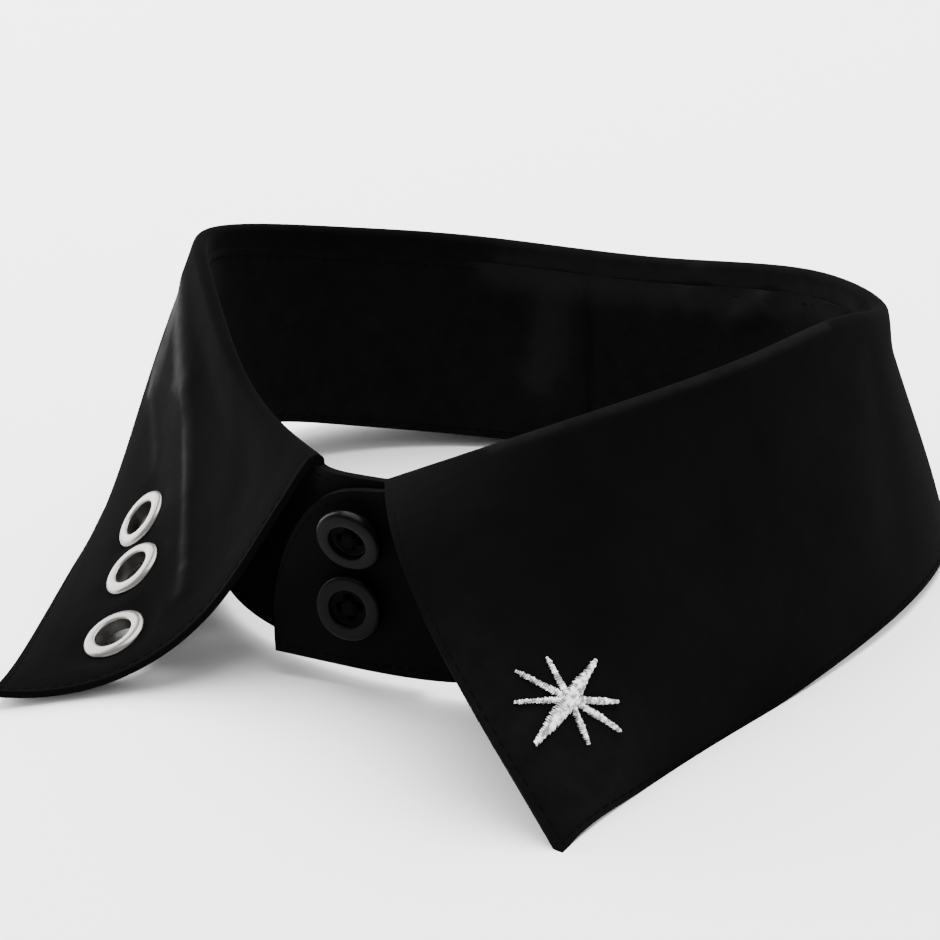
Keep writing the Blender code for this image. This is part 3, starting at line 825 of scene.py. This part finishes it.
def drilled_button(name, spots):
    """A button with a hole at each of the given spots."""
    blank = bpy.data.objects.new(name + "_blank", turned_mesh(name + "_blank", button_profile(), 96))
    holes = bmesh.new()
    radius = MM * BUTTON_HOLE_RADIUS
    for x, y in spots:
        bmesh.ops.create_cone(
            holes, cap_ends=True, segments=32, radius1=radius, radius2=radius, depth=MM * 8,
            matrix=Matrix.Translation((MM * x, MM * y, 0)))
    drill_mesh = bpy.data.meshes.new(name + "_drill")
    holes.to_mesh(drill_mesh)
    holes.free()
    drill = bpy.data.objects.new(name + "_drill", drill_mesh)
    for tool in (blank, drill):
        bpy.context.scene.collection.objects.link(tool)
    cut = blank.modifiers.new("Holes", "BOOLEAN")
    cut.solver = "EXACT"
    cut.object = drill
    mesh = bpy.data.meshes.new_from_object(blank.evaluated_get(bpy.context.evaluated_depsgraph_get()))
    mesh.name = name + "_resin"
    for tool in (blank, drill):
        bpy.data.objects.remove(tool, do_unlink=True)
    mesh.materials.clear()
    return mesh


def crossed_strands(spots):
    """Thread sewn crosswise through a button's four holes, the second way over the first."""
    strands = []
    for first, second in ((0, 2), (1, 3)):
        (ax, ay), (bx, by) = spots[first], spots[second]
        across = unit(np.array([-(by - ay), bx - ax]))
        for shift in BUTTON_STRANDS:
            line = []
            for x in np.linspace(-1, 1, 15):
                rise = BUTTON_FLOOR + 0.25 + 0.35 * (1 - x * x) + (0.12 if first else 0.0)
                drop = max(0.0, abs(x) - 0.8) * 9
                line.append((
                    (ax + bx) / 2 + (bx - ax) / 2 * x * 1.05 + across[0] * shift,
                    (ay + by) / 2 + (by - ay) / 2 * x * 1.05 + across[1] * shift,
                    rise - drop,
                ))
            strands.append(line)
    return strands


def make_buttons(resin, shaded_matt_resin, thread):
    """Four-hole buttons with a rounded rim round a dull sunk middle, painted darker as shade, sewn on with
    crossed thread.
    """
    for name, (front, right, down, spin) in BUTTONS.items():
        normal = np.array([
            math.sin(math.radians(right)) * math.cos(math.radians(down)),
            -math.cos(math.radians(right)) * math.cos(math.radians(down)),
            -math.sin(math.radians(down)),
        ])
        placement = facing(np.array(front) - normal * BUTTON_THICK, normal)
        turns = [math.radians(spin + 90 * k) for k in range(4)]
        spots = [(BUTTON_HOLE_PLACE * math.cos(a), BUTTON_HOLE_PLACE * math.sin(a)) for a in turns]
        mesh = drilled_button(name, spots)
        # The sunk floor gets the darker, duller resin: painted shade in the hollow.
        for face in mesh.polygons:
            x, y, z = face.center / MM
            face.material_index = int(math.hypot(x, y) < BUTTON_SHADED_FLOOR_RADIUS and z > 0.1)
        mesh.transform(placement)
        add_piece(name + "_resin", mesh, resin, [name])
        mesh.materials.append(shaded_matt_resin)
        mesh = tube_mesh(name + "_thread", crossed_strands(spots), BUTTON_THREAD_RADIUS)
        mesh.transform(placement)
        add_piece(name + "_thread", mesh, thread, [])


# The star's strands. Each one leans by a share of its half width along the ray.
STRAND_RADIUS = 0.19
STRAND_PITCH = 0.36
STRAND_LEAN = 0.35


def ray_half_width(x, root, middle, tip):
    """Half the width of one of the star's rays, at a share x of its length from the middle."""
    return float(np.interp(x, (0.0, 0.2, 0.55, 0.93, 1.0), (root, root, middle, tip, tip * 0.7)))


def make_star(silk):
    """The star in satin stitch: slightly uneven strands side by side across each ray, the widest on top."""
    rights, ups, lifts, counts = [], [], [], []
    narrow_first = sorted(STAR_RAYS, key=lambda row: row[2])
    for order, (direction, length, root, middle, tip) in enumerate(narrow_first):
        way = math.radians(direction)
        count = int(length / STRAND_PITCH)
        for k in range(count + 1):
            x = k / count
            wobble = 0.08 * math.sin(k * 2.399 + order) + 0.06 * math.sin(k * 5.77 + 2 * order)
            half = ray_half_width(x, root, middle, tip) - STRAND_RADIUS + wobble
            line = np.linspace(-1, 1, 9)
            along = x * length + line * half * STRAND_LEAN
            side = line * half
            rights.append(along * math.cos(way) - side * math.sin(way))
            ups.append(along * math.sin(way) + side * math.cos(way))
            pad = 0.08 * order * max(0.0, 1 - 2.2 * x)
            lifts.append(-0.1 + (0.5 + 0.42 * half + pad + 0.8 * abs(wobble)) * np.sqrt(1 - line**2 * 0.97))
            counts.append(len(line))
    rights, ups, lifts = np.concatenate(rights), np.concatenate(ups), np.concatenate(lifts)
    place = on_leaf(np.array(STAR_PLACE), rights, ups)
    points, normal, _, _ = fall_frame(*place)
    points = points + normal * lifts[:, None]
    lines = np.split(points, np.cumsum(counts)[:-1])
    mesh = tube_mesh("star_satin_stitch", lines, STRAND_RADIUS, 6)
    add_piece("star_satin_stitch", mesh, silk, ["star_embroidery"])


# Finishes

def colour(text):
    """An sRGB hex colour as the linear values that a shader takes."""
    parts = [int(text[k:k + 2], 16) / 255 for k in (1, 3, 5)]
    return tuple(c / 12.92 if c <= 0.04045 else ((c + 0.055) / 1.055)**2.4 for c in parts) + (1.0,)


def add_node(tree, kind, settings=None, values=None, links=None):
    """Adds a node with its settings, its sockets' values and the links into it."""
    made = tree.nodes.new(kind)
    for name, value in (settings or {}).items():
        setattr(made, name, value)
    for name, value in (values or {}).items():
        made.inputs[name].default_value = value
    for name, source in (links or {}).items():
        tree.links.new(source, made.inputs[name])
    return made


def add_grain(tree, values):
    """Fine noise that stays with the piece."""
    place = add_node(tree, "ShaderNodeTexCoord")
    grain = add_node(tree, "ShaderNodeTexNoise", None, values, {"Vector": place.outputs["Object"]})
    return grain.outputs["Fac"]


def add_ramp(tree, source, dark, pale):
    """Two colours, each with its place on the ramp, mixed by a source between them."""
    made = add_node(tree, "ShaderNodeValToRGB", None, None, {"Fac": source})
    for stop, (position, tone) in zip(made.color_ramp.elements, (dark, pale)):
        stop.position = position
        stop.color = colour(tone)
    return made


def finish(name, base, values):
    """A material with its base colour and its shader's other values, with its node tree and shader."""
    made = bpy.data.materials.new(name)
    made.use_nodes = True
    shader = made.node_tree.nodes["Principled BSDF"]
    shader.inputs["Base Color"].default_value = colour(base)
    for socket, value in values.items():
        shader.inputs[socket].default_value = value
    return made, made.node_tree, shader


def cotton_twill():
    """Black cotton twill over interlining: matt, with a faint diagonal rib, greyed where light is painted
    into its colour.

    The creases under the strongest painted highlights also shine a little. The greying stops at a limit, so
    that the painted highlights don't look chalky.
    """
    made, tree, shader = finish("black cotton twill", "#070707", {
        "Roughness": 0.5, "Specular IOR Level": 0.0, "Sheen Weight": 0.009, "Sheen Roughness": 0.5})
    place = add_node(tree, "ShaderNodeTexCoord")
    cut, whole = place.outputs["UV"], place.outputs["Object"]
    rib = add_node(tree, "ShaderNodeTexWave", {"bands_direction": "DIAGONAL", "wave_profile": "SIN"},
                   {"Scale": 800.0, "Distortion": 1.2, "Detail": 2.0, "Detail Scale": 2.0}, {"Vector": cut})
    slub = add_node(tree, "ShaderNodeTexNoise", None, {"Scale": 900.0, "Detail": 3.0}, {"Vector": cut})
    cloud = add_node(tree, "ShaderNodeTexNoise", None, {"Scale": 45.0, "Detail": 4.0, "Roughness": 0.6},
                     {"Vector": whole})
    mix = add_node(tree, "ShaderNodeMix", {"data_type": "FLOAT"}, {"Factor": 0.45},
                   {"A": rib.outputs["Fac"], "B": slub.outputs["Fac"]})
    weave = add_node(tree, "ShaderNodeBump", None, {"Strength": 0.12, "Distance": 0.00008},
                     {"Height": mix.outputs["Result"]})
    lumps = add_node(tree, "ShaderNodeBump", None, {"Strength": 0.3, "Distance": 0.0016},
                     {"Height": cloud.outputs["Fac"], "Normal": weave.outputs["Normal"]})
    tree.links.new(lumps.outputs["Normal"], shader.inputs["Normal"])
    dye = add_ramp(tree, cloud.outputs["Fac"], (0.3, "#050505"), (0.75, "#080808"))
    # The attribute holds where highlights and light are painted into the colour, with some wear; random
    # patches make it uneven.
    painted_light_and_wear = add_node(tree, "ShaderNodeAttribute", {"attribute_name": "painted_light_and_wear"})
    patches = add_node(tree, "ShaderNodeTexNoise", None, {"Scale": 260.0, "Detail": 5.0, "Roughness": 0.65},
                       {"Vector": whole})
    uneven = add_node(tree, "ShaderNodeMapRange", None,
                      {"From Min": 0.3, "From Max": 0.7, "To Min": 0.55, "To Max": 1.35},
                      {"Value": patches.outputs["Fac"]})
    painted_light_mask = add_node(tree, "ShaderNodeMath", {"operation": "MULTIPLY", "use_clamp": True}, None,
                      {0: painted_light_and_wear.outputs["Fac"], 1: uneven.outputs["Result"]})
    # The painted light is capped here, then mixes the cloth's colour toward pale grey: painted highlight.
    painted_light_grey = add_node(tree, "ShaderNodeMath", {"operation": "SMOOTH_MIN"}, {1: 0.28, 2: 0.3},
                      {0: painted_light_mask.outputs["Value"]})
    shade = add_node(tree, "ShaderNodeMix", {"data_type": "RGBA"}, {"B": colour("#222223")},
                     {"Factor": painted_light_grey.outputs["Value"], "A": dye.outputs["Color"]})
    # A little specular shine where the painted highlights are strongest.
    pressed = add_node(tree, "ShaderNodeMath", {"operation": "SUBTRACT", "use_clamp": True}, {1: 0.3},
                       {0: painted_light_mask.outputs["Value"]})
    shine = add_node(tree, "ShaderNodeMath", {"operation": "MULTIPLY"}, {1: 0.0065},
                     {0: pressed.outputs["Value"]})
    tree.links.new(shine.outputs["Value"], shader.inputs["Specular IOR Level"])
    tree.links.new(shade.outputs["Result"], shader.inputs["Base Color"])
    return made


def sewing_thread():
    """Black polyester sewing thread, smoother than the cloth and nearly as dull."""
    made, _, _ = finish("black sewing thread", "#080808", {"Roughness": 0.7, "Specular IOR Level": 0.002})
    return made


def button_resin():
    """Polyester resin turned and tumbled to a soft shine, with a fine haze on the rim."""
    made, tree, shader = finish("black polyester resin", "#060606", {
        "Roughness": 0.25, "Specular IOR Level": 0.03})
    haze = add_grain(tree, {"Scale": 900.0, "Detail": 4.0})
    bump = add_node(tree, "ShaderNodeBump", None, {"Strength": 0.15, "Distance": 0.0001}, {"Height": haze})
    tree.links.new(bump.outputs["Normal"], shader.inputs["Normal"])
    return made


def shaded_sunk_resin():
    """The same resin in the sunk middle, which the tumbling doesn't reach: dull from the turning tool, and
    darker as painted shade in the hollow.
    """
    made, _, _ = finish("black polyester resin, unpolished, with painted shade", "#040404", {
        "Roughness": 0.6, "Specular IOR Level": 0.01})
    return made


def nickel_plate():
    """Nickel plate on pressed brass, its brightness unevenly dulled by handling."""
    made, tree, shader = finish("bright nickel plate", "#6e6c69", {"Metallic": 1.0, "Roughness": 0.3})
    haze = add_grain(tree, {"Scale": 700.0, "Detail": 5.0})
    wear = add_node(tree, "ShaderNodeMapRange", None, {"To Min": 0.2, "To Max": 0.36}, {"Value": haze})
    tree.links.new(wear.outputs["Result"], shader.inputs["Roughness"])
    return made


def shaded_barrel_plate():
    """The same plate down in the barrel, thin and dulled where the setting die turned it, and darker:
    painted shade in the bore.
    """
    made, _, _ = finish("dull nickel plate with painted shade", "#4c4a47", {"Metallic": 1.0, "Roughness": 0.45})
    return made


def silver_rayon():
    """Silver-white rayon embroidery thread: pale, with a soft gloss along each strand, and a painted mottle
    of shade and highlight.
    """
    made, tree, shader = finish("silver-white rayon thread", "#b4b4b2", {
        "Roughness": 0.28, "Specular IOR Level": 0.9})
    ply = add_grain(tree, {"Scale": 2500.0, "Detail": 2.0})
    bump = add_node(tree, "ShaderNodeBump", None, {"Strength": 0.4, "Distance": 0.0001}, {"Height": ply})
    tree.links.new(bump.outputs["Normal"], shader.inputs["Normal"])
    # A random mottle from dark grey to white painted into the colour: painted shade and highlight on the
    # strands.
    painted_light_mottle = add_grain(tree, {"Scale": 1300.0, "Detail": 3.0})
    shade = add_ramp(tree, painted_light_mottle, (0.42, "#7a7a78"), (0.6, "#ffffff"))
    tree.links.new(shade.outputs["Color"], shader.inputs["Base Color"])
    return made


# Table, light and camera

# The camera that the photograph's outline gives, in degrees, millimetres and pixels. Its target is a point
# of the collar.
PHOTO_SIDE = 940
SENSOR_WIDTH = 36.0
CAMERA = {"azimuth": 32.79, "elevation": 23.24, "roll": -3.29, "distance": 641.23, "focal_pixels": 3598.51,
          "middle_x": 517.7, "middle_y": 533.4, "target": (5.0, 6.7, 5.7)}


def make_camera():
    """The photograph's camera, with its roll and its picture off the optical axis."""
    azimuth, elevation, roll = (math.radians(CAMERA[key]) for key in ("azimuth", "elevation", "roll"))
    back = Vector((math.sin(azimuth) * math.cos(elevation), -math.cos(azimuth) * math.cos(elevation),
                   math.sin(elevation)))
    right = Vector((math.cos(azimuth), math.sin(azimuth), 0))
    up = back.cross(right)
    right, up = math.cos(roll) * right + math.sin(roll) * up, math.cos(roll) * up - math.sin(roll) * right
    lens = bpy.data.cameras.new("camera")
    lens.sensor_width = SENSOR_WIDTH
    lens.lens = SENSOR_WIDTH * CAMERA["focal_pixels"] / PHOTO_SIDE
    lens.shift_x = (PHOTO_SIDE / 2 - CAMERA["middle_x"]) / PHOTO_SIDE
    lens.shift_y = (CAMERA["middle_y"] - PHOTO_SIDE / 2) / PHOTO_SIDE
    camera = bpy.data.objects.new("camera", lens)
    bpy.context.scene.collection.objects.link(camera)
    place = (Vector(CAMERA["target"]) + back * CAMERA["distance"]) * MM
    camera.matrix_world = Matrix.Translation(place) @ Matrix((right, up, back)).transposed().to_4x4()
    bpy.context.scene.camera = camera


def make_table():
    """A pale table under the collar. It belongs to the stage, not to the part."""
    top = bpy.data.meshes.new("table_top")
    top.from_pydata([(-3, -3, 0), (3, -3, 0), (3, 3, 0), (-3, 3, 0)], [], [(0, 1, 2, 3)])
    table, _, _ = finish("white painted table", "#ffffff", {"Roughness": 0.9, "Specular IOR Level": 0.1})
    top.materials.append(table)
    floor = bpy.data.objects.new("table_top", top)
    bpy.context.scene.collection.objects.link(floor)


def make_light():
    """Even white light all round and three softboxes that look at the collar."""
    world = bpy.data.worlds.new("studio")
    world.use_nodes = True
    world.node_tree.nodes["Background"].inputs["Color"].default_value = colour("#ffffff")
    world.node_tree.nodes["Background"].inputs["Strength"].default_value = 1.3
    bpy.context.scene.world = world
    for name, place, size, power in (
            ("overhead_softbox", (0.0, 0.15, 1.2), 1.1, 38.0),
            ("back_softbox", (-0.3, 1.0, 0.8), 0.9, 17.0),
            ("left_panel", (-1.0, 0.1, 0.35), 0.9, 22.0)):
        lamp = bpy.data.lights.new(name, "AREA")
        lamp.size = size
        lamp.energy = power
        made = bpy.data.objects.new(name, lamp)
        bpy.context.scene.collection.objects.link(made)
        made.location = place
        made.rotation_euler = (-Vector(place)).to_track_quat("-Z", "Y").to_euler()


# The collar

make_camera()
make_table()
make_light()
cotton = cotton_twill()
thread = sewing_thread()
leaf = make_leaf(cotton)
stand = make_stand(cotton)
leaf_sewing = sew_leaf(thread)
stand_sewing = sew_stand(thread)
make_eyelets(nickel_plate(), shaded_barrel_plate())
make_buttons(button_resin(), shaded_sunk_resin(), thread)
make_star(silver_rayon())
